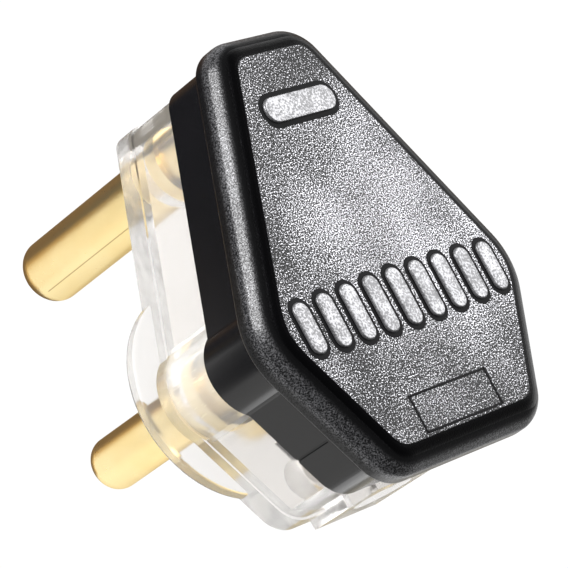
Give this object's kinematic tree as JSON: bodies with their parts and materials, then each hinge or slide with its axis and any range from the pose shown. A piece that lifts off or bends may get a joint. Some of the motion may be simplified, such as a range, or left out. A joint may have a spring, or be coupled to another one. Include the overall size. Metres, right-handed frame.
{
  "type": "round-pin power plug",
  "caption": "Rewirable mains plug: clear base with round brass pins, finger guards and screw terminals, under a black coffin-shaped clip-on lid.",
  "frame": {"origin": "on the face that meets the socket, midway between the line and neutral pins", "axes": "+Z away from the socket, towards the lid; +Y from the live pins to the earth pin; the cord leaves along -Y"},
  "size_m": [0.0478, 0.0576, 0.0536],
  "materials": {
    "black_plastic": "moulded black plastic, spark-eroded grain on the face",
    "clear_plastic": "clear polycarbonate, glossy",
    "brass": "turned and polished",
    "plated_steel": "plated",
    "white_plastic": "moulded"
  },
  "bodies": {
    "root": {"lid": "black_plastic", "base": "clear_plastic", "earth_pin": "brass", "line_pin": "brass", "neutral_pin": "brass", "earth_screw": "plated_steel", "line_screw": "plated_steel", "neutral_screw": "plated_steel", "cord_clamp": "white_plastic", "clamp_screw_left": "plated_steel", "clamp_screw_right": "plated_steel"}
  },
  "joints": []
}
